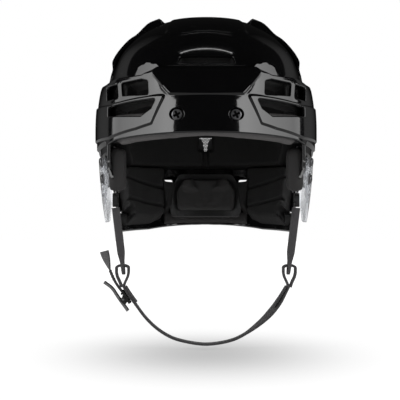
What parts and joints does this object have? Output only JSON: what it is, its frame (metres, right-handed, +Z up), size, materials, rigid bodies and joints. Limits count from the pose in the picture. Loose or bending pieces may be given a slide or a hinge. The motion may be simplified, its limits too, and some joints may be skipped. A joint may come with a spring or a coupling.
{
  "type": "ice hockey helmet",
  "caption": "Two-part gloss hard shell with foam liners, clear ear guards, a sliding rear half with side latches, and a hanging chin strap with a lever buckle.",
  "frame": {"origin": "middle of the head space, at the height of the brow rim", "axes": "-Y is the wearer's forward, +Z is up, +X is the wearer's left"},
  "size_m": [0.2194, 0.2776, 0.3311],
  "materials": {
    "shell_gloss": "polished moulded shell",
    "foam_black": "closed-cell foam",
    "foam_grey": "soft skinned foam",
    "pad_vinyl": "smooth padded skin",
    "plastic_black": "fine moulded texture",
    "plastic_grey": "satin moulding",
    "clear_guard": "clear polycarbonate",
    "mesh_pale": "perforated sheet",
    "screw_black": "blackened steel",
    "steel": "plated",
    "webbing": "woven webbing"
  },
  "bodies": {
    "helmet": {"front_shell": "shell_gloss", "front_liner": "foam_black", "brow_pad": "foam_grey", "crown_pad": "foam_grey", "temple_pad_left": "foam_grey", "temple_pad_right": "foam_grey", "ear_guard_left": "clear_guard", "ear_guard_right": "clear_guard", "ear_guard_screws": "screw_black", "ear_guard_nuts": "steel", "front_screws": "screw_black", "front_nuts": "steel", "ear_strap_snaps": "screw_black", "ear_strap_front_left": "webbing", "ear_strap_front_right": "webbing", "ear_strap_rear_left": "webbing", "ear_strap_rear_right": "webbing", "strap_slide_left": "plastic_black", "strap_slide_right": "plastic_black", "ear_loop_left": "webbing", "ear_loop_right": "webbing"},
    "rear_half": {"rear_shell": "shell_gloss", "rear_liner": "foam_black", "side_liner_left": "foam_black", "side_liner_right": "foam_black", "rear_vent_mesh": "mesh_pale", "cradle_rails": "plastic_black", "corner_eyelet_left": "plastic_black", "corner_eyelet_right": "plastic_black", "latch_base_left": "plastic_black", "latch_base_right": "plastic_black", "latch_pins": "steel", "latch_screws": "screw_black", "latch_nuts": "steel"},
    "left_latch": {"latch_lever_left": "plastic_grey"},
    "right_latch": {"latch_lever_right": "plastic_grey"},
    "cradle": {"occipital_cradle": "plastic_black", "occipital_pad": "pad_vinyl"},
    "chin_sling": {"chin_strap": "webbing", "chin_loop_left": "webbing", "chin_loop_right": "webbing", "strap_fold_left": "webbing", "strap_fold_right": "webbing", "strap_tail": "webbing", "buckle_frame": "plastic_black", "buckle_pin": "steel"},
    "buckle": {"buckle_lever": "plastic_grey"}
  },
  "joints": [
    {"name": "size_slide", "type": "slide", "parent": "helmet", "child": "rear_half", "axis": [0, 1, 0], "range_m": [0, 0.014]},
    {"name": "latch_left", "type": "hinge", "parent": "rear_half", "child": "left_latch", "pos_m": [0.10381, 0.058, 0.012], "axis": [0, 0, 1], "range_deg": [0, 80]},
    {"name": "latch_right", "type": "hinge", "parent": "rear_half", "child": "right_latch", "pos_m": [-0.10381, 0.058, 0.012], "axis": [0, 0, 1], "range_deg": [-80, 0]},
    {"name": "cradle_slide", "type": "slide", "parent": "rear_half", "child": "cradle", "axis": [0, -1, 0], "range_m": [0, 0.008]},
    {"name": "chin_swing", "type": "hinge", "parent": "helmet", "child": "chin_sling", "pos_m": [0, 0.012, -0.1292], "axis": [1, 0, 0], "range_deg": [-60, 60]},
    {"name": "buckle_lift", "type": "hinge", "parent": "chin_sling", "child": "buckle", "pos_m": [-0.08293, 0.012, -0.16376], "axis": [0, 1, 0], "range_deg": [-28, 0]}
  ]
}
